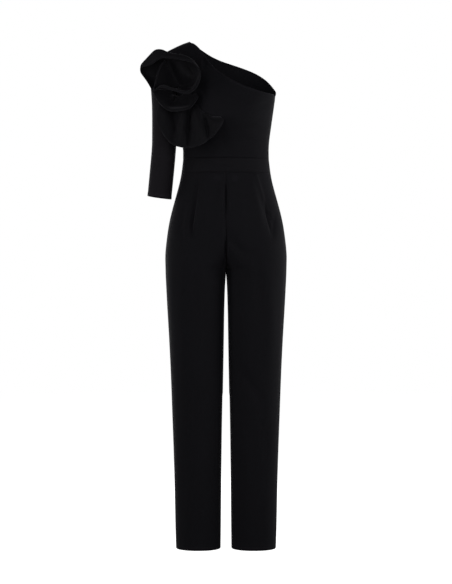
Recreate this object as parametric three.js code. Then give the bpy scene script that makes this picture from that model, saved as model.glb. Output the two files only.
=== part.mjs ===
import * as THREE from 'three';

// One-shoulder jumpsuit with a rose frill, filled out as if worn and hollow inside.
// Millimetres: x to the wearer's left, y to the back, z up. Sizes count from the trouser hem and
// the body's middle, and the finished group is set with the held point at the origin.
const wallThick = 1.6;
const rolledThick = 2.6;
const seamGap = 0.3;
const hemHeight = 0;
const crotchHeight = 838;
const forkHeight = 962;
const legStart = 1030;
const bandBottom = 1120;
const bandTop = 1163;
const roundPower = 2.2;
const tiny = 0.0001;

// The shoulder that carries the garment
const shoulderRoundStart = 1322;
const shoulderTip = { x: -187, z: 1482 };
const neckPoint = { x: -109.5, z: 1517 };
const leftUnderarm = { x: 149.3, z: 1355 };

// Where the wearer's shoulder holds the garment up: inside the shoulder seam
const heldAt = { x: -140, y: 0, z: 1503.5 };
const rightUnderarm = 1340;
const shoulderShare = 0.22;

// The eye for which the frill's rows are drawn, so that depth keeps its outline
const eyeDistance = 5500;
const eyeHeight = 766;

// Half width and depth of the body of the garment at each height
const bodyRows = [
  { z: 838, half: 182.0, front: 104, back: 121 },
  { z: 892, half: 181.8, front: 107, back: 125 },
  { z: 940, half: 177.9, front: 108, back: 126 },
  { z: 988, half: 168.0, front: 107, back: 121 },
  { z: 1045, half: 152.4, front: 102, back: 106 },
  { z: 1099, half: 137.7, front: 96, back: 91 },
  { z: 1120, half: 134.1, front: 94, back: 87 },
  { z: 1163, half: 128.9, front: 91, back: 83 },
  { z: 1207, half: 129.0, front: 94, back: 84 },
  { z: 1250, half: 134.4, front: 103, back: 88 },
  { z: 1290, half: 140.1, front: 108, back: 93 },
  { z: 1342, half: 147.5, front: 104, back: 97 },
  { z: 1355, half: 149.3, front: 103, back: 97 },
  { z: 1380, half: 168.0, front: 99, back: 97 },
  { z: 1420, half: 195.0, front: 94, back: 94 },
  { z: 1460, half: 225.0, front: 88, back: 89 },
  { z: 1530, half: 262.0, front: 80, back: 80 },
];

// Outer and inner edge and depth of one trouser leg at each height
const legRows = [
  { z: 0, outer: 150.0, inner: 15.7, front: 76, back: 78 },
  { z: 52, outer: 151.9, inner: 15.0, front: 76, back: 79 },
  { z: 148, outer: 153.7, inner: 14.1, front: 77, back: 80 },
  { z: 268, outer: 156.6, inner: 13.2, front: 78, back: 83 },
  { z: 388, outer: 161.1, inner: 11.4, front: 80, back: 87 },
  { z: 508, outer: 165.3, inner: 9.0, front: 84, back: 92 },
  { z: 628, outer: 171.0, inner: 6.9, front: 89, back: 99 },
  { z: 724, outer: 176.8, inner: 5.4, front: 95, back: 107 },
  { z: 796, outer: 180.5, inner: 2.7, front: 100, back: 115 },
  { z: 816, outer: 181.5, inner: 0.9, front: 102, back: 118 },
  { z: 838, outer: 182.0, inner: 0.0, front: 104, back: 121 },
  { z: 892, outer: 181.8, inner: 0.0, front: 107, back: 125 },
  { z: 1030, outer: 156.4, inner: 0.0, front: 103, back: 110 },
];

// Where each front pleat runs, how deep its trough is and how wide
const pleatRows = {
  right: [
    { z: 895, x: 97, depth: 0, width: 26 },
    { z: 925, x: 100, depth: 2, width: 22 },
    { z: 958, x: 105, depth: 5, width: 17 },
    { z: 1030, x: 95, depth: 8, width: 12 },
    { z: 1084, x: 84, depth: 7, width: 9 },
    { z: 1120, x: 79, depth: 0.8, width: 8 },
  ],
  left: [
    { z: 900, x: 136, depth: 0, width: 24 },
    { z: 941, x: 134, depth: 3, width: 18 },
    { z: 971, x: 129, depth: 6, width: 14 },
    { z: 1016, x: 116, depth: 8, width: 11 },
    { z: 1075, x: 98, depth: 5, width: 9 },
    { z: 1120, x: 86, depth: 0.8, width: 8 },
  ],
};

// Line of the armhole on the bodice, from the underarm to the shoulder tip
const armholeRows = [
  { z: 1340, x: -147.2 },
  { z: 1380, x: -152 },
  { z: 1420, x: -163 },
  { z: 1460, x: -178 },
  { z: 1482, x: -187 },
];

// Line of the shoulder seam seen from the front, carried on past the neck point
const ridgeRows = [
  { x: -300, z: 1428 },
  { x: -187, z: 1482 },
  { x: -148, z: 1502 },
  { x: -109.5, z: 1517 },
  { x: -60, z: 1524 },
  { x: 150, z: 1560 },
];

// Necklines from the neck point to the other underarm
const frontNeckRows = [
  { x: -109.5, z: 1517 },
  { x: -92, z: 1503 },
  { x: -77.7, z: 1490 },
  { x: -55, z: 1450 },
  { x: -23, z: 1417 },
  { x: 15, z: 1393 },
  { x: 52, z: 1374 },
  { x: 90, z: 1361.5 },
  { x: 129, z: 1354 },
  { x: 149.3, z: 1355 },
];
const backNeckRows = [
  { x: -109.5, z: 1517 },
  { x: -86, z: 1504 },
  { x: -61, z: 1488 },
  { x: -34, z: 1473 },
  { x: 12, z: 1458 },
  { x: 64, z: 1441 },
  { x: 108, z: 1421 },
  { x: 130, z: 1402 },
  { x: 144, z: 1381 },
  { x: 149.3, z: 1355 },
];

// Middle and half sizes of the sleeve at each height
const sleeveRows = [
  { z: 1049, x: -199.2, y: -12, wide: 36.0, deep: 41, tilt: 5.2 },
  { z: 1110, x: -193.6, y: -5, wide: 36.6, deep: 43, tilt: 2.4 },
  { z: 1165, x: -188.6, y: 0, wide: 36.8, deep: 46, tilt: 0.6 },
  { z: 1200, x: -185.6, y: 3, wide: 37.0, deep: 48, tilt: 0 },
  { z: 1260, x: -185.4, y: 5, wide: 36.8, deep: 51, tilt: 0 },
  { z: 1325, x: -185.8, y: 5, wide: 36.6, deep: 53, tilt: 0 },
];

// Rose strip, a spiral: turn round the throat in degrees, rim point, and step on to the free edge
const roseRows = [
  { turn: 112, x: -181, z: 1452, y: -92, stepX: -3, stepZ: 7, stepY: -6 },
  { turn: 130, x: -194, z: 1440, y: -108, stepX: -4, stepZ: 1, stepY: -9 },
  { turn: 150, x: -203, z: 1414, y: -119, stepX: -4, stepZ: 0, stepY: -9 },
  { turn: 172, x: -209, z: 1386, y: -129, stepX: -5, stepZ: -1, stepY: -8 },
  { turn: 190, x: -211, z: 1373, y: -138, stepX: -6, stepZ: -5, stepY: -5 },
  { turn: 210, x: -199, z: 1385, y: -149, stepX: -2, stepZ: -6, stepY: -4 },
  { turn: 228, x: -186, z: 1387, y: -156, stepX: 0, stepZ: -7, stepY: -3 },
  { turn: 244, x: -172, z: 1382, y: -161, stepX: 0, stepZ: -7, stepY: -3 },
  { turn: 260, x: -150, z: 1375, y: -165, stepX: 0, stepZ: -7, stepY: -2 },
  { turn: 275, x: -126, z: 1369, y: -166, stepX: 1, stepZ: -7, stepY: -2 },
  { turn: 290, x: -109, z: 1370, y: -163, stepX: 2, stepZ: -6, stepY: -2 },
  { turn: 305, x: -97, z: 1377, y: -157, stepX: 4, stepZ: -4, stepY: -2 },
  { turn: 321, x: -88, z: 1391, y: -150, stepX: 5, stepZ: -2, stepY: -2 },
  { turn: 337, x: -81, z: 1409, y: -144, stepX: 4, stepZ: 0, stepY: -4 },
  { turn: 353, x: -79, z: 1428, y: -138, stepX: 1, stepZ: 0, stepY: -8 },
  { turn: 369, x: -86, z: 1446, y: -133, stepX: -2, stepZ: -3, stepY: -11 },
  { turn: 385, x: -96, z: 1460, y: -128, stepX: -4, stepZ: -7, stepY: -13 },
  { turn: 402, x: -111, z: 1471, y: -124, stepX: -4, stepZ: -12, stepY: -15 },
  { turn: 419, x: -129, z: 1478, y: -120, stepX: -3, stepZ: -16, stepY: -16 },
  { turn: 435, x: -148, z: 1481, y: -115, stepX: -1, stepZ: -17, stepY: -17 },
  { turn: 450, x: -168, z: 1484, y: -109, stepX: -1, stepZ: -18, stepY: -17 },
  { turn: 464, x: -190, z: 1493, y: -101, stepX: 1, stepZ: -26, stepY: -16 },
  { turn: 477, x: -212, z: 1493, y: -92, stepX: 3, stepZ: -34, stepY: -14 },
  { turn: 489, x: -229, z: 1477, y: -82, stepX: 8, stepZ: -28, stepY: -13 },
  { turn: 501, x: -244, z: 1461, y: -72, stepX: 8, stepZ: -17, stepY: -12 },
  { turn: 513, x: -256, z: 1446, y: -62, stepX: 2, stepZ: -8, stepY: -9 },
  { turn: 526, x: -253, z: 1428, y: -56, stepX: -2, stepZ: -3, stepY: -6 },
  { turn: 540, x: -239, z: 1409, y: -57, stepX: -2, stepZ: -4, stepY: -4 },
  { turn: 553, x: -228, z: 1391, y: -62, stepX: -2, stepZ: -3, stepY: -5 },
  { turn: 565, x: -218, z: 1373, y: -70, stepX: -2, stepZ: -4, stepY: -5 },
  { turn: 576, x: -211, z: 1357, y: -79, stepX: -2, stepZ: -4, stepY: -5 },
  { turn: 587, x: -201, z: 1341, y: -89, stepX: -1, stepZ: -5, stepY: -4 },
  { turn: 598, x: -186, z: 1326, y: -98, stepX: -1, stepZ: -6, stepY: -4 },
  { turn: 610, x: -169, z: 1315, y: -105, stepX: 0, stepZ: -6, stepY: -4 },
  { turn: 624, x: -147, z: 1315, y: -111, stepX: 0, stepZ: -6, stepY: -3 },
  { turn: 640, x: -123, z: 1318, y: -114, stepX: 0, stepZ: -6, stepY: -3 },
  { turn: 654, x: -105, z: 1325, y: -113, stepX: 1, stepZ: -5, stepY: -3 },
  { turn: 666, x: -94, z: 1341, y: -108, stepX: 3, stepZ: -4, stepY: -2 },
  { turn: 677, x: -87, z: 1355, y: -101, stepX: 4, stepZ: -2, stepY: -2 },
  { turn: 688, x: -95, z: 1362, y: -93, stepX: 3, stepZ: 1, stepY: -2 },
];
const throat = { x: -138, z: 1372, y: -75 };
const mouth = { x: -140, z: 1426, y: -150 };

// Fan strip under the rose: seam point, free edge, and how far its middle stands forward
const fanRows = [
  { seamX: -16, seamZ: 1288, x: -7, z: 1283, y: -124, stand: 1 },
  { seamX: -28, seamZ: 1289, x: -11, z: 1272, y: -128, stand: 4 },
  { seamX: -42, seamZ: 1290, x: -20, z: 1257, y: -134, stand: 6 },
  { seamX: -54, seamZ: 1295, x: -30, z: 1243, y: -136, stand: 3 },
  { seamX: -66, seamZ: 1303, x: -42, z: 1231, y: -130, stand: -6 },
  { seamX: -74, seamZ: 1310, x: -52, z: 1224, y: -126, stand: -7 },
  { seamX: -80, seamZ: 1317, x: -64, z: 1214, y: -135, stand: 6 },
  { seamX: -86, seamZ: 1323, x: -77, z: 1207, y: -137, stand: 9 },
  { seamX: -93, seamZ: 1328, x: -91, z: 1203, y: -133, stand: 7 },
  { seamX: -99, seamZ: 1331, x: -104, z: 1200, y: -122, stand: -4 },
  { seamX: -105, seamZ: 1334, x: -115, z: 1199, y: -112, stand: -11 },
  { seamX: -112, seamZ: 1337, x: -126, z: 1199, y: -120, stand: 4 },
  { seamX: -120, seamZ: 1340, x: -138, z: 1201, y: -126, stand: 10 },
  { seamX: -129, seamZ: 1343, x: -149, z: 1204, y: -120, stand: 0 },
  { seamX: -138, seamZ: 1346, x: -158, z: 1208, y: -112, stand: -6 },
  { seamX: -147, seamZ: 1348, x: -169, z: 1216, y: -110, stand: 3 },
  { seamX: -157, seamZ: 1350, x: -183, z: 1232, y: -101, stand: 6 },
  { seamX: -167, seamZ: 1352, x: -195, z: 1250, y: -90, stand: 5 },
  { seamX: -176, seamZ: 1354, x: -204, z: 1268, y: -78, stand: 4 },
  { seamX: -184, seamZ: 1356, x: -208, z: 1288, y: -70, stand: 3 },
  { seamX: -190, seamZ: 1358, x: -206, z: 1310, y: -65, stand: 2 },
];

// Value of a column at a place along another column, joined by a smooth curve
const read = (rows, along, place, column) => {
  const last = rows.length - 1;
  let low = 0;
  while (low < last - 1 && rows[low + 1][along] < place) low += 1;
  const slope = (row) => {
    const before = rows[Math.max(row - 1, 0)];
    const after = rows[Math.min(row + 1, last)];
    return (after[column] - before[column]) / (after[along] - before[along]);
  };
  const step = rows[low + 1][along] - rows[low][along];
  const part = (place - rows[low][along]) / step;
  const t = Math.min(Math.max(part, 0), 1);
  const square = t * t;
  const cube = square * t;
  return rows[low][column] * (2 * cube - 3 * square + 1)
    + slope(low) * step * (cube - 2 * square + t)
    + rows[low + 1][column] * (3 * square - 2 * cube)
    + slope(low + 1) * step * (cube - square);
};

const lerp = (from, to, part) => from + (to - from) * part;
const clamp = (value, low, high) => Math.min(Math.max(value, low), high);
const rounded = (value) => Math.sign(value) * Math.abs(value) ** (2 / roundPower);
const bump = (distance, width) => Math.exp(-((distance / width) ** 2));
const even = (count) => Array.from({ length: count + 1 }, (unused, i) => i / count);

// Closed wall on a grid of surface points, with its thickness inward. A side of -1 or 1 keeps
// the whole wall on that side of the middle seam.
const gridWall = ({ place, across, along, facing = 1, round = false, seams = {}, side = 0 }) => {
  const columns = across.length;
  const rows = along.length;
  const outer = [];
  const inner = [];
  const shift = new THREE.Vector3();
  const limit = (value, turns) => (turns ? value : clamp(value, 0, 1));
  for (const v of along) {
    for (const u of across) {
      const point = place(u, v);
      const right = place(limit(u + tiny, round), v);
      const left = place(limit(u - tiny, round), v);
      const above = place(u, limit(v + tiny, false));
      const below = place(u, limit(v - tiny, false));
      const normal = right.clone().sub(left).cross(above.clone().sub(below));
      normal.normalize().multiplyScalar(facing);
      shift.set(0, 0, 0);
      if (!round && u === 0 && seams.left) shift.add(right.clone().sub(point).setLength(seamGap / 2));
      if (!round && u === 1 && seams.right) shift.add(left.clone().sub(point).setLength(seamGap / 2));
      if (v === 0 && seams.bottom) shift.add(above.clone().sub(point).setLength(seamGap / 2));
      if (v === 1 && seams.top) shift.add(below.clone().sub(point).setLength(seamGap / 2));
      const skins = [
        point.clone().add(shift),
        point.clone().addScaledVector(normal, -wallThick).add(shift),
      ];
      skins.forEach((skin) => {
        if (side !== 0) skin.x = side * Math.max(side * skin.x, seamGap / 2);
      });
      outer.push(skins[0]);
      inner.push(skins[1]);
    }
  }
  return wallFrom(outer, inner, columns, rows, facing, round);
};

// Mesh of a wall from its two skins of points
const wallFrom = (outer, inner, columns, rows, facing, round) => {
  const count = outer.length;
  const faces = [];
  const addQuad = (a, b, c, d, turned) => {
    if (turned) faces.push(a, c, b, a, d, c);
    else faces.push(a, b, c, a, c, d);
  };
  const spans = round ? columns : columns - 1;
  const back = facing < 0;
  for (let j = 0; j < rows - 1; j += 1) {
    for (let i = 0; i < spans; i += 1) {
      const next = (i + 1) % columns;
      const a = j * columns + i;
      const b = j * columns + next;
      const c = (j + 1) * columns + next;
      const d = (j + 1) * columns + i;
      addQuad(a, b, c, d, back);
      addQuad(a + count, b + count, c + count, d + count, !back);
    }
  }
  for (let i = 0; i < spans; i += 1) {
    const next = (i + 1) % columns;
    const top = (rows - 1) * columns;
    addQuad(i, next, next + count, i + count, !back);
    addQuad(top + i, top + next, top + next + count, top + i + count, back);
  }
  if (!round) {
    for (let j = 0; j < rows - 1; j += 1) {
      const a = j * columns;
      const b = (j + 1) * columns;
      const end = columns - 1;
      addQuad(a, b, b + count, a + count, back);
      addQuad(a + end, b + end, b + end + count, a + end + count, !back);
    }
  }
  const geometry = new THREE.BufferGeometry().setFromPoints([...outer, ...inner]);
  geometry.setIndex(faces);
  geometry.computeVertexNormals();
  return geometry;
};

// Angle round the body at which a point seen from the front lies
const angleAt = (x, z) => {
  const share = clamp(x / read(bodyRows, 'z', z, 'half'), -1, 1);
  return Math.asin(Math.sign(share) * Math.abs(share) ** (roundPower / 2));
};

// Point of the bodice at an angle and height; face is -1 at the front, 1 at the back
const bodyPoint = (face, angle, z) => {
  const x = read(bodyRows, 'z', z, 'half') * rounded(Math.sin(angle));
  const ridge = read(ridgeRows, 'x', x, 'z');
  const climb = clamp((z - shoulderRoundStart) / (ridge - shoulderRoundStart), 0, 1);
  const rounding = (1 - climb ** roundPower) ** (1 / roundPower);
  let depth = read(bodyRows, 'z', z, face < 0 ? 'front' : 'back');
  if (face < 0) depth += 11 * bump(Math.abs(x) - 74, 46) * bump(z - 1292, 52);
  if (face > 0) depth += 5 * bump(Math.abs(x) - 80, 50) * bump(z - 1372, 60);
  return new THREE.Vector3(x, face * depth * rounded(Math.cos(angle)) * rounding, z);
};

// Top line of a bodice half: shoulder seam, then neckline
const topLine = (face, neckRows) => {
  let length = 0;
  let previous = null;
  const knots = neckRows.map((row) => {
    const angle = angleAt(row.x, row.z);
    const point = bodyPoint(face, angle, row.z);
    if (previous) length += point.distanceTo(previous);
    previous = point;
    return { length, angle, z: row.z };
  });
  knots.forEach((knot) => {
    knot.part = knot.length / length;
  });
  return (u) => {
    if (u < shoulderShare) {
      const x = lerp(shoulderTip.x, neckPoint.x, u / shoulderShare);
      const z = read(ridgeRows, 'x', x, 'z');
      return { angle: angleAt(x, z), z };
    }
    const part = (u - shoulderShare) / (1 - shoulderShare);
    return { angle: read(knots, 'part', part, 'angle'), z: read(knots, 'part', part, 'z') };
  };
};

const armholeAngle = (z) => (z <= rightUnderarm ? -Math.PI / 2 : angleAt(read(armholeRows, 'z', z, 'x'), z));

// Half of the bodice as one patch between waist, armhole side, top line and plain side
const bodicePlace = (face, neckRows) => {
  const top = topLine(face, neckRows);
  const sideTop = leftUnderarm.z;
  return (u, v) => {
    const topHere = top(u);
    const bottomAngle = lerp(-Math.PI / 2, Math.PI / 2, u);
    const armZ = lerp(bandTop, shoulderTip.z, v);
    const plainZ = lerp(bandTop, sideTop, v);
    const armAngle = armholeAngle(armZ);
    const startTop = top(0);
    const endTop = top(1);
    const angle = lerp(bottomAngle, topHere.angle, v)
      + lerp(armAngle, Math.PI / 2, u)
      - lerp(lerp(-Math.PI / 2, Math.PI / 2, u), lerp(startTop.angle, endTop.angle, u), v);
    const z = lerp(bandTop, topHere.z, v)
      + lerp(armZ, plainZ, u)
      - lerp(bandTop, lerp(startTop.z, endTop.z, u), v);
    return bodyPoint(face, clamp(angle, -Math.PI / 2, Math.PI / 2), z);
  };
};

// Waistband half, between its two seams
const bandPlace = (face) => (u, v) => bodyPoint(face, lerp(-Math.PI / 2, Math.PI / 2, u), lerp(bandBottom, bandTop, v));

// How far a front pleat lifts or sinks the trouser front at a point
const pleatLift = (side, x, z) => {
  const rows = side < 0 ? pleatRows.right : pleatRows.left;
  if (z <= rows[0].z) return 0;
  const depth = Math.max(read(rows, 'z', z, 'depth'), 0);
  const width = read(rows, 'z', z, 'width');
  const offset = Math.abs(x) - read(rows, 'z', z, 'x');
  return 0.7 * depth * bump(offset + 1.7 * width, 1.3 * width) - depth * bump(offset, width);
};

// Point of a trouser panel: share runs from the side seam to the centre or inner leg seam
const trouserPoint = (side, face, share, z) => {
  const depthName = face < 0 ? 'front' : 'back';
  const angle = (1 - share) * Math.PI / 2;
  const bodyHalf = read(bodyRows, 'z', z, 'half');
  const bodyDepth = read(bodyRows, 'z', z, depthName);
  const torso = [bodyHalf * rounded(Math.sin(angle)), bodyDepth * rounded(Math.cos(angle))];
  const outer = read(legRows, 'z', z, 'outer');
  const inner = z < crotchHeight ? Math.max(read(legRows, 'z', z, 'inner'), 0) : 0;
  const legDepth = read(legRows, 'z', z, depthName);
  const turn = share * Math.PI;
  const legX = (outer + inner) / 2 + (outer - inner) / 2 * rounded(Math.cos(turn));
  const openY = legDepth * rounded(Math.sin(turn));
  const closedY = share < 0.5 ? openY : legDepth;
  const sink = clamp((forkHeight - z) / (forkHeight - crotchHeight), 0, 1);
  const fork = 1 - Math.sqrt(1 - sink * sink);
  const part = clamp((legStart - z) / (legStart - crotchHeight), 0, 1);
  const legShape = part * part * (3 - 2 * part);
  let x = lerp(torso[0], legX, legShape);
  let y = lerp(torso[1], lerp(closedY, openY, fork), legShape);
  if (face < 0) {
    const lift = pleatLift(side, x, z);
    const outward = new THREE.Vector2(x / bodyHalf ** 2, y / bodyDepth ** 2).setLength(lift || 1);
    if (lift !== 0) {
      x += Math.sign(lift) * Math.abs(outward.x);
      y += Math.sign(lift) * Math.abs(outward.y);
    }
  }
  return new THREE.Vector3(side * x, face * y, z);
};

// Heights of the trouser rows, closer where the body forks into legs
const bandRows = [1120, 1102, 1080, 1056, 1030, 1004, 982, 962];
const forkRows = [14, 28, 42, 56, 70, 81, 90].map((degrees) => {
  const drop = Math.sin(degrees * Math.PI / 180);
  return forkHeight - (forkHeight - crotchHeight) * drop;
});
const shinRows = [828, 812, 790, 760, 715, 660, 600, 530, 455, 380, 300, 220, 140, 65, 0];
const trouserHeights = [...bandRows, ...forkRows, ...shinRows].reverse();
const heightSpan = bandBottom - hemHeight;
const trouserAlong = trouserHeights.map((z) => (z - hemHeight) / heightSpan);
const frontShares = [0, 0.1, 0.19, 0.27, 0.34, 0.4, 0.45, 0.5, 0.55, 0.6, 0.65, 0.71, 0.79, 0.89, 1];
const backShares = [0, 0.12, 0.24, 0.36, 0.48, 0.6, 0.72, 0.86, 1];

const trouserPlace = (side, face) => (u, v) => trouserPoint(side, face, u, lerp(hemHeight, bandBottom, v));

// Sleeve: armhole loop, then rings down to the cuff; part runs round from the shoulder tip by the front
const armholePoint = (part) => {
  const face = part <= 0.5 ? -1 : 1;
  const z = lerp(rightUnderarm, shoulderTip.z, (1 + Math.cos(part * 2 * Math.PI)) / 2);
  return bodyPoint(face, armholeAngle(z), z);
};
const sleeveRing = (part, z) => {
  const turn = part * 2 * Math.PI;
  const x = read(sleeveRows, 'z', z, 'x') - read(sleeveRows, 'z', z, 'wide') * rounded(Math.cos(turn));
  const y = read(sleeveRows, 'z', z, 'y') - read(sleeveRows, 'z', z, 'deep') * rounded(Math.sin(turn));
  return new THREE.Vector3(x, y, z + read(sleeveRows, 'z', z, 'tilt') * Math.cos(turn));
};
const headShare = 0.4;
const sleeveTop = sleeveRows[sleeveRows.length - 1].z;
const cuffHeight = sleeveRows[0].z;
const sleevePlace = (u, v) => {
  const part = ((u % 1) + 1) % 1;
  if (v > headShare) {
    return sleeveRing(part, lerp(sleeveTop, cuffHeight, (v - headShare) / (1 - headShare)));
  }
  const turn = Math.cos(part * 2 * Math.PI);
  const start = armholePoint(part).add(new THREE.Vector3(-seamGap, 0, -seamGap));
  const finish = sleeveRing(part, sleeveTop);
  const reach = start.distanceTo(finish) * 0.42;
  const leave = new THREE.Vector3(-0.56 - 0.4 * turn, 0, -0.5 + 0.25 * turn).setLength(reach);
  const arrive = new THREE.Vector3(0, 0, reach);
  const curve = new THREE.CubicBezierCurve3(start, start.clone().add(leave), finish.clone().add(arrive), finish);
  return curve.getPoint(v / headShare);
};

// Point drawn in the front view, carried to its depth along the line of sight
const drawn = (x, z, y) => {
  const scale = 1 + y / eyeDistance;
  return new THREE.Vector3(x * scale, y, eyeHeight + (z - eyeHeight) * scale);
};

// Front of the cloth behind a point and close round it, found on the meshes already made
const aroundPoint = [[0, 0], [1, 0], [-1, 0], [0, 1], [0, -1], [0.7, 0.7], [-0.7, 0.7], [0.7, -0.7], [-0.7, -0.7]];
const frontOf = (meshes, point, reach) => {
  const ahead = new THREE.Vector3(0, 1, 0);
  const depths = aroundPoint.map(([stepX, stepZ]) => {
    const start = new THREE.Vector3(point.x + stepX * reach, -600, point.z + stepZ * reach);
    const hit = new THREE.Raycaster(start, ahead).intersectObjects(meshes, false)[0];
    return hit ? hit.point.y : 1000;
  });
  return Math.min(...depths);
};

const seamReach = 2;

// Frill wall from ribs, each a smooth line of points from its seam to its free edge
const frillWall = (ribs, meshes, columns, rowShares, clearance, bridge) => {
  const lines = ribs.map((points) => new THREE.CatmullRomCurve3(points, false, 'centripetal'));
  const across = even(columns);
  const strips = rowShares.map((share) => {
    const points = lines.map((line) => line.getPoint(share));
    return new THREE.CatmullRomCurve3(points, false, 'centripetal');
  });
  const outer = [];
  const inner = [];
  const grid = strips.map((strip) => across.map((u) => strip.getPoint(u)));
  const at = (j, i) => grid[clamp(j, 0, grid.length - 1)][clamp(i, 0, columns)];
  grid.forEach((line, j) => {
    line.forEach((point, i) => {
      const sideways = at(j, i + 1).clone().sub(at(j, i - 1));
      const outward = at(j + 1, i).clone().sub(at(j - 1, i));
      const normal = sideways.cross(outward).normalize();
      const thick = lerp(wallThick, rolledThick, clamp((rowShares[j] - 0.86) / 0.1, 0, 1));
      const skins = [
        point.clone().addScaledVector(normal, thick / 2),
        point.clone().addScaledVector(normal, -thick / 2),
      ];
      const reach = j === 0 ? seamReach : bridge;
      const behind = Math.min(...skins.map((skin) => frontOf(meshes, skin, reach)));
      const clear = clearance * Math.min(1 + j, 4);
      const push = Math.min(behind - clear - Math.max(skins[0].y, skins[1].y), 0);
      skins.forEach((skin) => {
        skin.y += push;
      });
      outer.push(skins[0]);
      inner.push(skins[1]);
    });
  });
  return wallFrom(outer, inner, columns + 1, grid.length, 1, false);
};

const cloth = (colour) => new THREE.MeshStandardMaterial({ color: colour, roughness: 0.82, metalness: 0 });
const garment = new THREE.Group();
const addPiece = (name, geometry, colour) => {
  const mesh = new THREE.Mesh(geometry, cloth(colour));
  mesh.name = name;
  mesh.updateMatrixWorld();
  garment.add(mesh);
  return mesh;
};

const bodiceAcross = [0, 0.035, 0.075, 0.12, 0.17, 0.22, 0.28, 0.34, 0.41, 0.49, 0.57, 0.65, 0.73, 0.81, 0.88, 0.94, 1];
const bodiceAlong = [0, 0.1, 0.2, 0.3, 0.4, 0.49, 0.56, 0.63, 0.7, 0.77, 0.83, 0.885, 0.93, 0.965, 0.988, 1];
const allSeams = { left: true, right: true, top: true, bottom: true };
const bodiceFront = addPiece('bodice_front', gridWall({
  place: bodicePlace(-1, frontNeckRows),
  across: bodiceAcross,
  along: bodiceAlong,
  seams: allSeams,
}), 0x16161a);
addPiece('bodice_back', gridWall({
  place: bodicePlace(1, backNeckRows),
  across: bodiceAcross,
  along: bodiceAlong,
  facing: -1,
  seams: allSeams,
}), 0x151518);
addPiece('waistband_front', gridWall({
  place: bandPlace(-1),
  across: even(16),
  along: even(2),
  seams: allSeams,
}), 0x1a1a1e);
addPiece('waistband_back', gridWall({
  place: bandPlace(1),
  across: even(16),
  along: even(2),
  facing: -1,
  seams: allSeams,
}), 0x1a1a1e);

const trouserSeams = { left: true, right: true, top: true };
const trouserPanels = [
  { name: 'trouser_front_right', side: -1, face: -1, shares: frontShares },
  { name: 'trouser_front_left', side: 1, face: -1, shares: frontShares },
  { name: 'trouser_back_right', side: -1, face: 1, shares: backShares },
  { name: 'trouser_back_left', side: 1, face: 1, shares: backShares },
];
trouserPanels.forEach((panel) => addPiece(panel.name, gridWall({
  place: trouserPlace(panel.side, panel.face),
  across: panel.shares,
  along: trouserAlong,
  facing: panel.side * panel.face,
  seams: trouserSeams,
  side: panel.side,
}), 0x17171a));

const sleeve = addPiece('sleeve', gridWall({
  place: sleevePlace,
  across: even(24).slice(0, -1),
  along: [0, 0.05, 0.11, 0.18, 0.26, 0.34, 0.42, 0.5, 0.58, 0.66, 0.74, 0.83, 0.92, 1],
  facing: -1,
  round: true,
  seams: { bottom: true },
}), 0x18181c);

// Fan strip: it leaves its seam forward, then falls to its edge
const underFan = [bodiceFront, sleeve];
const fanRibs = fanRows.map((row) => {
  const edge = drawn(row.x, row.z, row.y);
  const seam = drawn(row.seamX, row.seamZ, -80);
  seam.y = frontOf(underFan, seam, seamReach) - 1;
  const shoulder = seam.clone().lerp(edge, 0.3);
  shoulder.y -= 5 + row.stand;
  const middle = seam.clone().lerp(edge, 0.65);
  middle.y -= 4 + row.stand;
  return [seam, shoulder, middle, edge];
});
const fanShares = [0, 0.12, 0.26, 0.4, 0.54, 0.68, 0.8, 0.9, 0.96, 1];
const fan = addPiece('fan_frill', frillWall(fanRibs, underFan, 60, fanShares, 0.4, 4), 0x141417);

// Rose strip: ribs swell away from the line from throat to mouth before they reach the rim
const underRose = [bodiceFront, sleeve, fan];
const roseRibs = roseRows.map((row) => {
  const rim = drawn(row.x, row.z, row.y);
  const edge = rim.clone().add(new THREE.Vector3(row.stepX, row.stepY, row.stepZ));
  const turns = (row.turn - roseRows[0].turn) / 360;
  const radius = 4 + 9 * turns + 9 * Math.max(turns - 0.6, 0);
  const angle = row.turn * Math.PI / 180;
  const seam = new THREE.Vector3(throat.x + radius * Math.cos(angle), 0, throat.z + radius * Math.sin(angle));
  seam.y = frontOf(underRose, seam, seamReach) - 1;
  const belly = seam.clone().lerp(rim, 0.5);
  const axisPart = clamp((belly.y - throat.y) / (mouth.y - throat.y), 0, 1);
  const axis = new THREE.Vector3(
    lerp(throat.x, mouth.x, axisPart),
    belly.y,
    lerp(throat.z, mouth.z, axisPart),
  );
  const away = belly.clone().sub(axis);
  belly.add(away.setLength(turns < 0.25 ? 3 : 10));
  return [seam, belly, rim, edge];
});
const roseShares = [0, 0.05, 0.12, 0.24, 0.36, 0.48, 0.58, 0.67, 0.76, 0.84, 0.92, 1];
addPiece('rose_frill', frillWall(roseRibs, underRose, 96, roseShares, 0.5, 6), 0x131316);

garment.position.set(-heldAt.x, -heldAt.y, -heldAt.z);

export default garment;
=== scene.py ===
import math

import bmesh
import bpy
import numpy as np
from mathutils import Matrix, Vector
from mathutils.bvhtree import BVHTree
from mathutils.kdtree import KDTree


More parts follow.
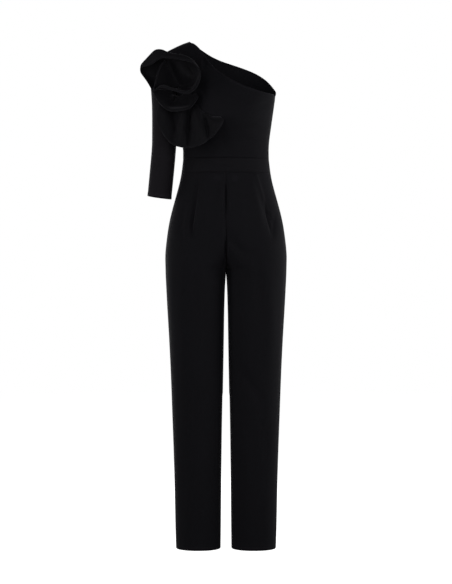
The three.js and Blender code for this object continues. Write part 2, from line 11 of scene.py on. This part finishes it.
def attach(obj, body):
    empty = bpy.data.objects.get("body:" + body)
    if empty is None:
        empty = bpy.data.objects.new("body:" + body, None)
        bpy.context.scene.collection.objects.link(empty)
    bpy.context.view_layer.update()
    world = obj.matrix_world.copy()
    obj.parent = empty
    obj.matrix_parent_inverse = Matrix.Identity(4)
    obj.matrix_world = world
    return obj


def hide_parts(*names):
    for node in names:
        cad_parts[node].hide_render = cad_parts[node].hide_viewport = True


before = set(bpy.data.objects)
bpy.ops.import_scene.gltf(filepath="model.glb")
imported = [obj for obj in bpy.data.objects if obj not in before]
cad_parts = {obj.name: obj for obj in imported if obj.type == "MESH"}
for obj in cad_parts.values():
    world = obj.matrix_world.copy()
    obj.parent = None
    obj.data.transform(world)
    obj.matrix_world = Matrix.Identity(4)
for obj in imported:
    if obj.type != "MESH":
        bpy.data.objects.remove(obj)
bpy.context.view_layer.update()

# Added to a place, this gives the garment's own measures: metres from its middle and up from the trouser hem
heldAt = np.array([-0.140, 0.0, 1.5035])


class Socket:  # a shader value that takes part in sums
    def __init__(self, tree, socket):
        self.tree = tree
        self.socket = socket

    def sum(self, operation, first, second):
        values = {0: first, 1: second}
        return addNode(self.tree, "ShaderNodeMath", {"operation": operation}, values)

    def __add__(self, other):
        return self.sum("ADD", self, other)

    def __radd__(self, other):
        return self.sum("ADD", other, self)

    def __sub__(self, other):
        return self.sum("SUBTRACT", self, other)

    def __rsub__(self, other):
        return self.sum("SUBTRACT", other, self)

    def __mul__(self, other):
        return self.sum("MULTIPLY", self, other)

    def __rmul__(self, other):
        return self.sum("MULTIPLY", other, self)


def setSocket(tree, slot, value):
    if isinstance(value, Socket):
        tree.links.new(value.socket, slot)
    else:
        slot.default_value = value


def addNode(tree, kind, settings=None, values=None, output=0):
    node = tree.nodes.new(kind)
    for name, value in (settings or {}).items():
        setattr(node, name, value)
    for name, value in (values or {}).items():
        setSocket(tree, node.inputs[name], value)
    return Socket(tree, node.outputs[output])


# What the crepes have in common: the scale of their patches and threads, what each part of the
# pattern adds to the lighter tone, and how far it changes the roughness
weave = {
    "patchScale": 9.0,
    "patchDetail": 3.0,
    "patchMiddle": 0.5,
    "threadScale": 420.0,
    "threadDetail": 4.0,
    "threadPart": 0.6,
    "pebblePart": 0.6,
    "grainMiddle": 0.6,
    "patchTone": 0.55,
    "grainTone": 0.35,
    "seamPaintedShade": 0.4,  # painted shade, taken off the tone along a seam
    "patchRoughness": 0.1,
    "grainRoughness": 0.08,
    "bump": 0.6,
    "sheenRoughness": 0.42,
    "sheenTint": (0.92, 0.9, 1.0, 1.0),
}


def clothMaterial(cloth):
    material = bpy.data.materials.new(cloth["name"])
    material.use_nodes = True
    tree = material.node_tree
    shader = tree.nodes["Principled BSDF"]
    place = addNode(tree, "ShaderNodeTexCoord", output=3)  # object coordinates
    patches = {"Vector": place, "Scale": weave["patchScale"], "Detail": weave["patchDetail"]}
    threads = {"Vector": place, "Scale": weave["threadScale"], "Detail": weave["threadDetail"]}
    pebbles = {"Vector": place, "Scale": cloth["pebbles"]}
    patch = addNode(tree, "ShaderNodeTexNoise", values=patches)
    thread = addNode(tree, "ShaderNodeTexNoise", values=threads)
    pebble = addNode(tree, "ShaderNodeTexVoronoi", values=pebbles)
    grain = thread * weave["threadPart"] + pebble * weave["pebblePart"]
    edge = addNode(tree, "ShaderNodeAttribute", {"attribute_name": "foldedEdge"}, output=2)
    seam = addNode(tree, "ShaderNodeAttribute", {"attribute_name": "sewnSeam"}, output=2)
    share = patch * weave["patchTone"] + grain * weave["grainTone"]
    # Lighter along free edges: partly wear, partly a painted highlight on the lit rims. Darker along seams:
    # painted shade in the seam's dip.
    share = share + edge * cloth["rimWearAndHighlight"] - seam * weave["seamPaintedShade"]
    tones = {0: share, 6: cloth["deep"], 7: cloth["worn"]}  # the factor and the two colours
    colour = addNode(tree, "ShaderNodeMix", {"data_type": "RGBA"}, tones, output=2)
    setSocket(tree, shader.inputs["Base Color"], colour)
    rough = cloth["roughness"] + (patch - weave["patchMiddle"]) * weave["patchRoughness"]
    rough = rough + (grain - weave["grainMiddle"]) * weave["grainRoughness"]
    setSocket(tree, shader.inputs["Roughness"], rough)
    heights = {"Height": grain, "Distance": cloth["grainHeight"], "Strength": weave["bump"]}
    setSocket(tree, shader.inputs["Normal"], addNode(tree, "ShaderNodeBump", values=heights))
    shader.inputs["Specular IOR Level"].default_value = cloth["gloss"]
    shader.inputs["Sheen Weight"].default_value = cloth["sheen"]
    shader.inputs["Sheen Roughness"].default_value = weave["sheenRoughness"]
    shader.inputs["Sheen Tint"].default_value = weave["sheenTint"]
    return material


# How a solid's copy becomes a soft shell, in degrees and metres
sewing = {
    "weld": 0.00002,  # corners nearer than this become one
    "mergeAngle": 50,  # triangles that meet flatter than this are joined
    "rimAngle": 58,  # an edge that turns more stays crisp
    "otherWay": 0.7,  # cosine above which two faces of a rim point the same way
    "search": 0.004,  # how far a rim looks for the piece that it is sewn to
    "closeSeam": 0.00017,  # how far each rim moves so that a seam's two sides meet
    "marked": 0.99,  # a corner of the finer shell counts as a rim's from here up
    "furthest": 0.05,  # distances from a rim stop here
    "dipWidth": 0.0026,
    "seamWidth": 0.0022,  # of the painted shade line along a seam
    "hemStep": 0.0006,  # how softly the hem's extra thickness ends
    "wornPart": 0.8,  # how much of the hem's depth looks worn and carries a painted rim highlight
}


def creaseLayer(shell):
    return shell.edges.layers.float.get("crease_edge") or shell.edges.layers.float.new("crease_edge")


def markEdges(shell, node, settings):
    sharp = creaseLayer(shell)
    for edge in shell.edges:
        if len(edge.link_faces) == 2 and edge.calc_face_angle() > math.radians(sewing["rimAngle"]):
            edge[sharp] = settings["edgeCrease"]
    others = [BVHTree.FromBMesh(solid) for name, solid in solids.items() if name != node]
    seamLayer = shell.verts.layers.float.new("seamEdge")
    freeLayer = shell.verts.layers.float.new("freeEdge")
    rims = [face for face in shell.faces if sum(edge[sharp] > 0 for edge in face.edges) > 1]
    shell.normal_update()
    for vertex in {v for face in rims for v in face.verts}:
        ways = [face.normal for face in vertex.link_faces if face in rims]
        ways = [
            way for count, way in enumerate(ways)
            if all(way.dot(other) < sewing["otherWay"] for other in ways[:count])
        ]
        gaps = [tree.find_nearest(vertex.co, sewing["search"])[3] for tree in others]
        gap = min((g for g in gaps if g is not None), default=1)
        if gap < settings["seamReach"]:
            vertex[seamLayer] = 1
            vertex.co += sum(ways, Vector()) * sewing["closeSeam"]
        else:
            vertex[freeLayer] = 1


def softenBox(shell, low, high, times):  # evens out the faces in a box, but for crisp edges
    low, high = Vector(low) - Vector(heldAt), Vector(high) - Vector(heldAt)
    sharp = creaseLayer(shell)
    inside = [v for v in shell.verts if all(low[i] < v.co[i] < high[i] for i in range(3))]
    inside = [v for v in inside if not any(edge[sharp] for edge in v.link_edges)]
    for count in range(times):
        bmesh.ops.smooth_vert(
            shell,
            verts=inside,
            factor=0.5,
            use_axis_x=True,
            use_axis_y=True,
            use_axis_z=True,
        )


def gatherTo(shell, at, reach, pull):  # draws the cloth round a place in towards it
    for vertex in shell.verts:
        way = Vector(at) - Vector(heldAt) - vertex.co
        vertex.co += way * pull * math.exp(-((way.length / reach) ** 4))


def smoothShell(node, settings):
    shell = solids[node].copy()
    bmesh.ops.join_triangles(
        shell,
        faces=shell.faces,
        angle_face_threshold=math.radians(sewing["mergeAngle"]),
        angle_shape_threshold=math.radians(180),
    )
    markEdges(shell, node, settings)
    for box in settings.get("soften", []):
        softenBox(shell, *box)
    if "gather" in settings:
        gatherTo(shell, *settings["gather"])
    mesh = bpy.data.meshes.new(node + "_rough")
    shell.to_mesh(mesh)
    shell.free()
    rough = bpy.data.objects.new(node + "_rough", mesh)
    bpy.context.scene.collection.objects.link(rough)
    finer = rough.modifiers.new("finer", "SUBSURF")
    finer.levels = finer.render_levels = settings["levels"]
    ready = rough.evaluated_get(bpy.context.evaluated_depsgraph_get())
    result = bpy.data.meshes.new_from_object(ready)
    bpy.data.objects.remove(rough)
    return result


def readVectors(mesh, name):
    values = np.empty(len(mesh.vertices) * 3)
    mesh.vertices.foreach_get(name, values)
    return values.reshape(-1, 3)


def readMarks(mesh, name):
    values = np.empty(len(mesh.vertices))
    mesh.attributes[name].data.foreach_get("value", values)
    return values > sewing["marked"]


def distanceTo(places, chosen):
    if not chosen.any():
        return np.full(len(places), sewing["furthest"])
    tree = KDTree(int(chosen.sum()))
    for place in places[chosen]:
        tree.insert(place, 0)
    tree.balance()
    return np.array([min(tree.find(place)[2], sewing["furthest"]) for place in places])


def keepAttribute(mesh, name, values):
    attribute = mesh.attributes.new(name, "FLOAT", "POINT")
    attribute.data.foreach_set("value", values.astype(np.float32))


# A crease lies on a path seen from the front, across from the middle and up from the hem. A depth
# below zero is a trough. It is on the front or the back half, between two distances back and soft
# at both. A lower fade keeps its depth further towards its ends
def crease(width, depth, path, back=False, between=(-1, 1), soft=0.004, fade=0.7):
    return {
        "width": width,
        "depth": depth,
        "path": path,
        "back": back,
        "between": between,
        "soft": soft,
        "fade": fade,
    }


def pathGap(points, path):
    best = np.full(len(points), 1e9)
    along = np.zeros(len(points))
    path = np.array(path, float)
    steps = np.diff(path, axis=0)
    lengths = np.linalg.norm(steps, axis=1)
    for start, step, length, done in zip(path, steps, lengths, np.cumsum(lengths) - lengths):
        part = np.clip(((points - start) @ step) / length ** 2, 0, 1)
        gap = np.linalg.norm(points - start - part[:, None] * step, axis=1)
        along = np.where(gap < best, (done + part * length) / lengths.sum(), along)
        best = np.minimum(gap, best)
    return best, along


def rise(values, start, softness):  # from 0 to 1, soft about the start
    return 1 / (1 + np.exp((start - values) / softness))


def creaseLift(own, creases):
    endPart, halfSoftness = 0.03, 0.012
    lift = np.zeros(len(own))
    depths = own[:, 1]
    for fold in creases:
        gap, along = pathGap(own[:, [0, 2]], fold["path"])
        fade = np.sin(np.pi * (along * (1 - 2 * endPart) + endPart)) ** fold["fade"]
        facing = rise(depths if fold["back"] else -depths, 0, halfSoftness)
        nearest, furthest = fold["between"]
        facing = facing * rise(depths, nearest, fold["soft"]) * rise(-depths, -furthest, fold["soft"])
        lift += fold["depth"] * np.exp(-((gap / fold["width"]) ** 2)) * fade * facing
    return lift


def level(way):
    return way / np.maximum(np.linalg.norm(way, axis=1), 1e-6)[:, None]


def fromBody(own):  # level and outward from the body's middle line
    halfWidth, halfDepth = 0.145, 0.1
    return level(own * [1 / halfWidth ** 2, 1 / halfDepth ** 2, 0])


def fromLeg(own):  # from the leg's middle line, and from the body's above the fork and at the centre seam
    legMiddle, halfWidth, halfDepth = 0.084, 0.07, 0.08
    forkStart, forkHeight, seamReach = 0.84, 0.12, 0.012
    middle = np.sign(own[:, 0]) * legMiddle
    leg = level(np.stack([(own[:, 0] - middle) / halfWidth, own[:, 1] / halfDepth, 0 * middle], axis=1))
    above = np.clip((own[:, 2] - forkStart) / forkHeight, 0, 1)
    share = np.maximum(above, np.exp(-((own[:, 0] / seamReach) ** 2)))[:, None]
    return level(leg * (1 - share) + fromBody(own) * share)


def fromSleeve(own):  # from the arm's middle line, which leans out towards the cuff
    armMiddle, halfWidth, halfDepth = -0.1855, 0.037, 0.05
    lean, leanStart, leanLength = 0.013, 1.2, 0.15
    middle = armMiddle - lean * np.clip((leanStart - own[:, 2]) / leanLength, 0, 1)
    return level(np.stack([(own[:, 0] - middle) / halfWidth, own[:, 1] / halfDepth, 0 * middle], axis=1))


def towardsFront(own):
    return np.tile([0.0, -1.0, 0.0], (len(own), 1))


def makePiece(node, settings):
    mesh = smoothShell(node, settings)
    places = readVectors(mesh, "co")
    outward = settings["outward"](places + heldAt)
    toSeam = distanceTo(places, readMarks(mesh, "seamEdge"))
    toEdge = distanceTo(places, readMarks(mesh, "freeEdge"))
    dip = settings["seamDip"] * np.exp(-((toSeam / sewing["dipWidth"]) ** 2))
    hem = settings["hemThick"] * rise(-toEdge, -settings["hemDepth"], sewing["hemStep"])
    lift = creaseLift(places + heldAt, settings["creases"]) - dip
    places += outward * lift[:, None] + readVectors(mesh, "normal") * hem[:, None]
    mesh.vertices.foreach_set("co", places.ravel())
    # The band along free edges carries wear and a painted highlight on the rims
    wornDepth = settings["hemDepth"] * sewing["wornPart"]
    keepAttribute(mesh, "foldedEdge", np.exp(-((toEdge / wornDepth) ** 2)))
    # The band along seams carries a painted shade
    keepAttribute(mesh, "sewnSeam", np.exp(-((toSeam / sewing["seamWidth"]) ** 2)))
    mesh.materials.append(settings["material"])
    for face in mesh.polygons:
        face.use_smooth = True
    piece = bpy.data.objects.new("cloth_" + node, mesh)
    bpy.context.scene.collection.objects.link(piece)
    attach(piece, "root")
    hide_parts(node)
    print("made", piece.name, "with", len(mesh.polygons), "faces")


def mirrored(creases):
    return [{**fold, "path": [(-x, z) for x, z in fold["path"]]} for fold in creases]


# The solids' loose triangles, merged in copies
solids = {}
for node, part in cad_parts.items():
    solids[node] = bmesh.new()
    solids[node].from_mesh(part.data)
    bmesh.ops.remove_doubles(solids[node], verts=solids[node].verts, dist=sewing["weld"])

crepe = clothMaterial({
    "name": "black_crepe",
    "deep": (0.0068, 0.0065, 0.0088, 1.0),
    "worn": (0.0125, 0.0119, 0.0158, 1.0),
    "pebbles": 900.0,
    "grainHeight": 0.00025,
    "roughness": 0.78,
    "gloss": 0.16,
    "sheen": 0.10,
    "rimWearAndHighlight": 1.3,
})
# A lighter copy of the black crepe: painted light for the sleeve's brighter lit look
sleevePaintedLightCrepe = clothMaterial({
    "name": "sleeve_crepe_painted_light",
    "deep": (0.0122, 0.0106, 0.0136, 1.0),
    "worn": (0.0216, 0.0190, 0.0240, 1.0),
    "pebbles": 900.0,
    "grainHeight": 0.00025,
    "roughness": 0.78,
    "gloss": 0.17,
    "sheen": 0.12,
    "rimWearAndHighlight": 1.3,
})
bandCrepe = clothMaterial({
    "name": "waistband_crepe",
    "deep": (0.0080, 0.0075, 0.0098, 1.0),
    "worn": (0.0138, 0.0130, 0.0166, 1.0),
    "pebbles": 900.0,
    "grainHeight": 0.00025,
    "roughness": 0.77,
    "gloss": 0.16,
    "sheen": 0.10,
    "rimWearAndHighlight": 0.2,
})
frillCrepe = clothMaterial({
    "name": "frill_crepe",
    "deep": (0.0055, 0.0053, 0.0070, 1.0),
    "worn": (0.0112, 0.0107, 0.0138, 1.0),
    "pebbles": 980.0,
    "grainHeight": 0.00022,
    "roughness": 0.74,
    "gloss": 0.18,
    "sheen": 0.12,
    "rimWearAndHighlight": 0.7,
})
print("made the crepes")

# What the flat panels have in common, and then what each piece has of its own
panel = {
    "levels": 3,
    "edgeCrease": 1.0,
    "seamReach": 0.0012,
    "seamDip": 0.0005,
    "material": crepe,
    "slot": "crepe",
    "held": "stretched",
    "creases": [],
}

bodiceFront = {
    **panel,
    "outward": fromBody,
    "hemDepth": 0.0045,
    "hemThick": 0.0013,
    "flat": (0.42, 0.36),
    "area": 0.099,
    "creases": [
        crease(0.0045, 0.004, [(-0.090, 1.500), (-0.077, 1.474), (-0.072, 1.450), (-0.072, 1.422)]),
        crease(0.0045, -0.005, [(-0.076, 1.484), (-0.066, 1.462), (-0.063, 1.434)]),
        crease(0.013, 0.003, [(-0.058, 1.372), (-0.055, 1.345), (-0.046, 1.325)]),
        crease(0.010, -0.0015, [(0.138, 1.335), (0.110, 1.318), (0.080, 1.305)]),
        crease(0.012, -0.0016, [(0.128, 1.262), (0.095, 1.250), (0.050, 1.246)]),
        crease(0.010, -0.0014, [(0.120, 1.222), (0.080, 1.214), (0.030, 1.216)]),
        crease(0.012, -0.0014, [(-0.020, 1.235), (0.000, 1.205), (0.012, 1.175)]),
    ],
}
makePiece("bodice_front", bodiceFront)

bodiceBack = {
    **panel,
    "outward": fromBody,
    "hemDepth": 0.004,
    "hemThick": 0.0007,
    "flat": (0.44, 0.36),
    "area": 0.109,
    "creases": [
        crease(0.014, -0.002, [(-0.110, 1.400), (-0.060, 1.375), (0.010, 1.365)], back=True),
        crease(0.011, -0.002, [(-0.125, 1.230), (-0.070, 1.212), (0.000, 1.208)], back=True),
        crease(0.010, -0.0018, [(0.122, 1.238), (0.060, 1.228), (-0.010, 1.232)], back=True),
        crease(0.009, -0.0015, [(-0.115, 1.190), (-0.050, 1.182), (0.040, 1.186), (0.110, 1.180)], back=True),
        crease(0.014, -0.002, [(0.130, 1.330), (0.085, 1.345), (0.040, 1.372)], back=True),
    ],
}
makePiece("bodice_back", bodiceBack)

waistband = {
    **panel,
    "material": bandCrepe,
    "slot": "band_crepe",
    "outward": fromBody,
    "hemDepth": 0.002,
    "hemThick": 0.0,
    "flat": (0.36, 0.043),
}
waistbandFront = {
    **waistband,
    "creases": [
        crease(0.004, -0.0012, [(-0.060, 1.137), (-0.010, 1.139), (0.055, 1.136)]),
        crease(0.004, -0.0014, [(-0.005, 1.129), (0.050, 1.131), (0.108, 1.128)]),
        crease(0.004, -0.0010, [(0.060, 1.148), (0.095, 1.150), (0.125, 1.146)]),
    ],
}
makePiece("waistband_front", waistbandFront)
makePiece("waistband_back", waistband)

trousers = {
    **panel,
    "outward": fromLeg,
    "hemDepth": 0.009,
    "hemThick": 0.0005,
    "soften": [((-0.070, -0.13, 0.795), (0.070, 0.14, 0.885), 4)],  # the crotch
}
centreCreases = [  # the groove down the front seam, on the left front's side of it
    crease(0.0036, -0.007, [(0.001, 1.094), (0.001, 1.050), (0.001, 0.990)]),
    crease(0.006, -0.003, [(0.001, 1.020), (0.001, 0.960), (0.001, 0.890)]),
    crease(0.0040, -0.008, [(0.001, 0.925), (0.001, 0.880), (0.001, 0.850)]),
]
trouserFront = {**trousers, "flat": (0.30, 1.13), "area": 0.275}
trouserFrontRight = {
    **trouserFront,
    "creases": [
        *mirrored(centreCreases),
        crease(0.004, -0.003, [(-0.083, 1.095), (-0.088, 1.050), (-0.092, 1.020)]),
        crease(0.0045, -0.0080, [(-0.090, 1.040), (-0.094, 1.012), (-0.102, 0.962), (-0.099, 0.925)]),
        crease(0.010, -0.005, [(-0.116, 1.040), (-0.128, 0.995), (-0.134, 0.965), (-0.128, 0.920)]),
        crease(0.007, 0.003, [(-0.022, 1.115), (-0.014, 1.065), (-0.016, 1.030)]),
        crease(0.016, -0.0026, [(-0.060, 0.905), (-0.085, 0.860), (-0.094, 0.800), (-0.092, 0.700)]),
        crease(0.018, 0.0026, [(-0.120, 0.860), (-0.130, 0.760), (-0.126, 0.620), (-0.122, 0.480)]),
        crease(0.016, -0.0024, [(-0.054, 0.760), (-0.050, 0.600), (-0.056, 0.420)]),
        crease(0.014, -0.0024, [(-0.100, 0.520), (-0.088, 0.440), (-0.092, 0.330)]),
        crease(0.014, -0.0020, [(-0.130, 0.330), (-0.124, 0.210), (-0.126, 0.080)]),
        crease(0.016, 0.0026, [(-0.066, 0.320), (-0.072, 0.180), (-0.068, 0.050)]),
    ],
}
trouserFrontLeft = {
    **trouserFront,
    "creases": [
        *centreCreases,
        crease(
            0.0038,
            -0.0045,
            [(0.112, 1.035), (0.117, 1.010), (0.122, 0.989), (0.129, 0.963), (0.134, 0.938)],
        ),
        crease(0.005, -0.003, [(0.124, 1.000), (0.131, 0.985), (0.138, 0.972)]),
        crease(0.007, -0.003, [(0.145, 1.000), (0.143, 0.975), (0.138, 0.925)]),
        crease(0.022, 0.0024, [(0.070, 1.112), (0.082, 1.080), (0.090, 1.040)]),
        crease(0.0068, 0.0048, [(0.088, 1.114), (0.098, 1.075), (0.108, 1.042), (0.117, 1.012)], fade=0.3),
        crease(0.015, -0.005, [(0.004, 0.950), (0.020, 0.912), (0.042, 0.888), (0.075, 0.876)]),
        crease(0.016, -0.0026, [(0.070, 0.900), (0.092, 0.850), (0.100, 0.780), (0.096, 0.690)]),
        crease(0.018, 0.0024, [(0.060, 0.790), (0.052, 0.660), (0.060, 0.520)]),
        crease(0.018, 0.0028, [(0.128, 0.820), (0.134, 0.700), (0.128, 0.560)]),
        crease(0.014, -0.0028, [(0.026, 0.560), (0.050, 0.520), (0.090, 0.470), (0.110, 0.420)]),
        crease(0.015, -0.0024, [(0.110, 0.400), (0.118, 0.300), (0.112, 0.180)]),
        crease(0.015, 0.0026, [(0.058, 0.350), (0.064, 0.200), (0.060, 0.060)]),
    ],
}
makePiece("trouser_front_right", trouserFrontRight)
makePiece("trouser_front_left", trouserFrontLeft)

backCreases = [
    crease(0.006, -0.003, [(0.070, 1.105), (0.074, 1.060), (0.080, 1.020)], back=True),
    crease(0.014, -0.004, [(0.030, 0.852), (0.070, 0.838), (0.120, 0.850)], back=True),
    crease(0.014, -0.003, [(0.050, 0.800), (0.096, 0.780), (0.140, 0.800)], back=True),
    crease(0.013, -0.003, [(0.040, 0.500), (0.080, 0.484), (0.125, 0.498)], back=True),
    crease(0.012, -0.0025, [(0.055, 0.455), (0.095, 0.444), (0.130, 0.460)], back=True),
    crease(0.018, -0.0025, [(0.085, 0.740), (0.090, 0.600), (0.084, 0.540)], back=True),
    crease(0.018, 0.0025, [(0.060, 0.400), (0.066, 0.230), (0.060, 0.060)], back=True),
    crease(0.016, -0.0022, [(0.115, 0.380), (0.112, 0.220), (0.118, 0.070)], back=True),
]
trouserBack = {**trousers, "flat": (0.32, 1.14), "area": 0.284, "creases": backCreases}
makePiece("trouser_back_left", trouserBack)
makePiece("trouser_back_right", {**trouserBack, "creases": mirrored(backCreases)})

sleeve = {
    **panel,
    "material": sleevePaintedLightCrepe,
    "outward": fromSleeve,
    "hemDepth": 0.009,
    "hemThick": 0.0005,
    "flat": (0.36, 0.43),
    "area": 0.103,
    "creases": [
        crease(0.007, -0.0018, [(-0.221, 1.215), (-0.200, 1.206), (-0.170, 1.200)]),
        crease(0.006, -0.002, [(-0.150, 1.178), (-0.176, 1.170), (-0.205, 1.172)]),
        crease(0.006, -0.0016, [(-0.154, 1.148), (-0.182, 1.140), (-0.214, 1.146)]),
        crease(0.007, -0.002, [(-0.152, 1.192), (-0.184, 1.184), (-0.218, 1.188)], back=True),
        crease(0.010, -0.0025, [(-0.155, 1.305), (-0.180, 1.330), (-0.205, 1.372)], back=True),
        crease(0.009, 0.0015, [(-0.200, 1.135), (-0.206, 1.095), (-0.210, 1.065)]),
    ],
}
makePiece("sleeve", sleeve)

frill = {
    "levels": 2,
    "edgeCrease": 0.6,
    "seamReach": 0.0022,
    "seamDip": 0.0,
    "outward": towardsFront,
    "hemDepth": 0.005,
    "hemThick": 0.0006,
    "material": frillCrepe,
    "slot": "frill_crepe",
    "held": "gathered",
}

petals = (-0.16, -0.100)  # how far back the front petals lie
rose = {
    **frill,
    "flat": (0.11, 0.76),
    "area": 0.047,
    "soften": [
        ((-0.205, -0.13, 1.315), (-0.090, -0.03, 1.368), 14),
        ((-0.180, -0.14, 1.370), (-0.105, -0.05, 1.445), 3),
    ],
    "gather": ((-0.138, -0.078, 1.372), 0.024, 0.8),
    "creases": [
        crease(0.0065, -0.010, [(-0.182, 1.449), (-0.173, 1.412), (-0.169, 1.376)], between=petals),
        crease(0.0040, -0.007, [(-0.172, 1.444), (-0.166, 1.425), (-0.158, 1.404)], between=petals),
        crease(0.0150, 0.014, [(-0.150, 1.434), (-0.122, 1.408), (-0.098, 1.390)], between=(-0.15, -0.060)),
        crease(0.0080, -0.010, [(-0.134, 1.450), (-0.108, 1.428), (-0.086, 1.396)], between=petals),
        crease(0.0050, -0.008, [(-0.126, 1.388), (-0.112, 1.383), (-0.102, 1.379)], between=petals),
        crease(0.0160, 0.009, [(-0.186, 1.338), (-0.156, 1.328), (-0.112, 1.338)], between=(-0.13, -0.050)),
        crease(
            0.0115,
            0.032,
            [(-0.150, 1.350), (-0.152, 1.344), (-0.154, 1.338)],
            between=(-0.110, 0.0),
            soft=0.010,
            fade=0.25,
        ),
    ],
}
makePiece("rose_frill", rose)

fan = {
    **frill,
    "flat": (0.13, 0.42),
    "area": 0.028,
    "creases": [
        crease(0.0075, 0.010, [(-0.1105, 1.240), (-0.1140, 1.215), (-0.1150, 1.190)], fade=0.4),
        crease(0.0060, -0.004, [(-0.160, 1.300), (-0.150, 1.262), (-0.142, 1.225)]),
        crease(0.0045, -0.003, [(-0.088, 1.305), (-0.078, 1.280)]),
        crease(0.0060, 0.004, [(-0.128, 1.300), (-0.139, 1.258), (-0.142, 1.232)]),
    ],
}
makePiece("fan_frill", fan)


def addFloor():
    floor = {
        "drop": 0.03,  # below the trouser hem
        "radius": 9.0,
        "sides": 96,
        "tone": (0.9, 0.9, 0.9, 1.0),
        "roughness": 0.9,
        "glow": 1.0,
    }
    disc = bmesh.new()
    bmesh.ops.create_circle(disc, cap_ends=True, segments=floor["sides"], radius=floor["radius"])
    bmesh.ops.translate(disc, vec=(-heldAt[0], 0, -heldAt[2] - floor["drop"]), verts=disc.verts)
    mesh = bpy.data.meshes.new("floor")
    disc.to_mesh(mesh)
    disc.free()
    studioFloor = bpy.data.objects.new("studio_floor", mesh)
    bpy.context.scene.collection.objects.link(studioFloor)
    white = bpy.data.materials.new("white_paper")
    white.use_nodes = True
    shader = white.node_tree.nodes["Principled BSDF"]
    shader.inputs["Base Color"].default_value = floor["tone"]
    shader.inputs["Roughness"].default_value = floor["roughness"]
    shader.inputs["Emission Color"].default_value = (1.0, 1.0, 1.0, 1.0)
    shader.inputs["Emission Strength"].default_value = floor["glow"]
    mesh.materials.append(white)
    studioFloor.visible_diffuse = False  # lit apart from the garment, as white paper in a studio is
    studioFloor.visible_glossy = False


def addLight(name, place, aim, size, watts):
    data = bpy.data.lights.new(name, "AREA")
    data.shape = "RECTANGLE"
    data.size, data.size_y = size
    data.energy = watts
    light = bpy.data.objects.new(name, data)
    bpy.context.scene.collection.objects.link(light)
    light.location = place
    light.rotation_mode = "QUATERNION"
    light.visible_camera = False
    light.rotation_quaternion = (Vector(aim) - Vector(place)).to_track_quat("-Z", "Y")


def addCamera():
    view = {"distance": 5.5, "height": 0.766, "frameWidth": 1.752, "sensor": 36.0}
    data = bpy.data.cameras.new("camera")
    data.sensor_width = view["sensor"]
    data.lens = view["sensor"] * view["distance"] / view["frameWidth"]
    camera = bpy.data.objects.new("camera", data)
    bpy.context.scene.collection.objects.link(camera)
    camera.location = (-heldAt[0], -view["distance"], view["height"] - heldAt[2])
    camera.rotation_mode = "QUATERNION"
    camera.rotation_quaternion = Vector((0, 1, 0)).to_track_quat("-Z", "Y")
    bpy.context.scene.camera = camera


def addWorld():  # white for the camera alone, so that only the lights reach the garment
    world = bpy.data.worlds.new("studio")
    bpy.context.scene.world = world
    world.use_nodes = True
    world.node_tree.nodes["Background"].inputs[0].default_value = (1.0, 1.0, 1.0, 1.0)
    world.node_tree.nodes["Background"].inputs[1].default_value = 1.0
    world.cycles_visibility.diffuse = False
    world.cycles_visibility.glossy = False


# Each light's place, what it points at, its width and height, and its watts
garmentMiddle = (0.14, 0, -0.7)
bodiceMiddle = (0.14, 0, -0.45)
lights = [
    ("left_softbox", (-2.28, -1.39, -0.46), garmentMiddle, (0.9, 2.0), 11.5),
    ("left_fill", (-1.21, -2.89, -0.42), garmentMiddle, (0.8, 1.6), 4.5),
    ("left_key", (-1.01, -1.99, 1.23), garmentMiddle, (0.8, 0.8), 5),
    ("front_softbox", (0.14, -3.6, -0.7), garmentMiddle, (1.2, 1.2), 4.5),
    ("right_fill", (1.49, -2.89, -0.42), garmentMiddle, (0.8, 1.6), 10.5),
    ("right_softbox", (2.56, -1.39, -0.46), garmentMiddle, (0.9, 2.0), 7.5),
    ("left_rim", (-1.92, 0.75, -0.51), garmentMiddle, (1.0, 2.2), 3.5),
    ("right_rim", (2.2, 0.75, -0.51), garmentMiddle, (1.0, 2.2), 7),
    ("right_strip", (1.4, -0.34, -0.45), bodiceMiddle, (0.5, 0.9), 2.2),
    ("back_softbox", (0.14, 2.36, 0.4), garmentMiddle, (1.8, 1.8), 16),
    ("back_left", (-1.34, 2.11, -0.34), garmentMiddle, (1.0, 2.0), 9),
    ("back_right", (1.62, 2.11, -0.34), garmentMiddle, (1.0, 2.0), 5),
]
addFloor()
for light in lights:
    addLight(*light)
addCamera()
addWorld()
bpy.context.scene.view_settings.view_transform = "Standard"
print("lit and framed")

for solid in solids.values():
    solid.free()
